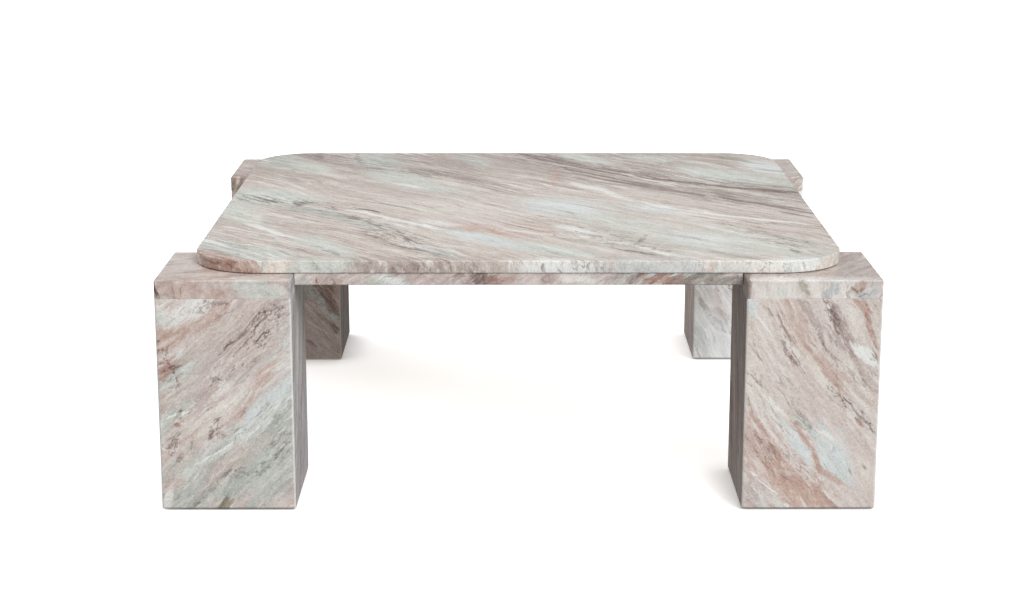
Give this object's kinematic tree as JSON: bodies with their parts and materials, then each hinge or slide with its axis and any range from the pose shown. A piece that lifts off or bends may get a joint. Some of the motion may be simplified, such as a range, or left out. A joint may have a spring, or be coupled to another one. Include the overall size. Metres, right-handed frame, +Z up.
{
  "type": "coffee table",
  "caption": "Low square coffee table: a rounded polished marble slab resting on square block legs clad in the same veined marble, which stand out past the slab at its corners.",
  "frame": {"origin": "on the floor, under the centre of the slab", "axes": "+Z up, +Y to the rear of the table as pictured, +X to its right; the table is square in plan"},
  "size_m": [1.145, 1.145, 0.4],
  "materials": {
    "marble": "polished, veined pink and grey-green",
    "plywood": "raw birch plywood",
    "post_wood": "planed softwood",
    "steel": "plain steel",
    "felt": "pressed dark felt",
    "clear_silicone": "clear soft silicone"
  },
  "bodies": {
    "root": {"centre_support_board": "plywood", "front_edge_strip": "marble", "front_left_leg_base_board": "plywood", "front_left_leg_base_screws": "steel", "front_left_leg_bumper_dots": "clear_silicone", "front_left_leg_cap": "marble", "front_left_leg_corner_posts": "post_wood", "front_left_leg_felt_pads": "felt", "front_left_leg_front_panel": "marble", "front_left_leg_left_panel": "marble", "front_left_leg_locating_pins": "steel", "front_left_leg_rear_panel": "marble", "front_left_leg_right_panel": "marble", "front_right_leg_base_board": "plywood", "front_right_leg_base_screws": "steel", "front_right_leg_bumper_dots": "clear_silicone", "front_right_leg_cap": "marble", "front_right_leg_corner_posts": "post_wood", "front_right_leg_felt_pads": "felt", "front_right_leg_front_panel": "marble", "front_right_leg_left_panel": "marble", "front_right_leg_locating_pins": "steel", "front_right_leg_rear_panel": "marble", "front_right_leg_right_panel": "marble", "left_edge_strip": "marble", "left_support_board": "plywood", "rear_edge_strip": "marble", "rear_left_leg_base_board": "plywood", "rear_left_leg_base_screws": "steel", "rear_left_leg_bumper_dots": "clear_silicone", "rear_left_leg_cap": "marble", "rear_left_leg_corner_posts": "post_wood", "rear_left_leg_felt_pads": "felt", "rear_left_leg_front_panel": "marble", "rear_left_leg_left_panel": "marble", "rear_left_leg_locating_pins": "steel", "rear_left_leg_rear_panel": "marble", "rear_left_leg_right_panel": "marble", "rear_right_leg_base_board": "plywood", "rear_right_leg_base_screws": "steel", "rear_right_leg_bumper_dots": "clear_silicone", "rear_right_leg_cap": "marble", "rear_right_leg_corner_posts": "post_wood", "rear_right_leg_felt_pads": "felt", "rear_right_leg_front_panel": "marble", "rear_right_leg_left_panel": "marble", "rear_right_leg_locating_pins": "steel", "rear_right_leg_rear_panel": "marble", "rear_right_leg_right_panel": "marble", "right_edge_strip": "marble", "right_support_board": "plywood", "top_slab": "marble"}
  },
  "joints": []
}
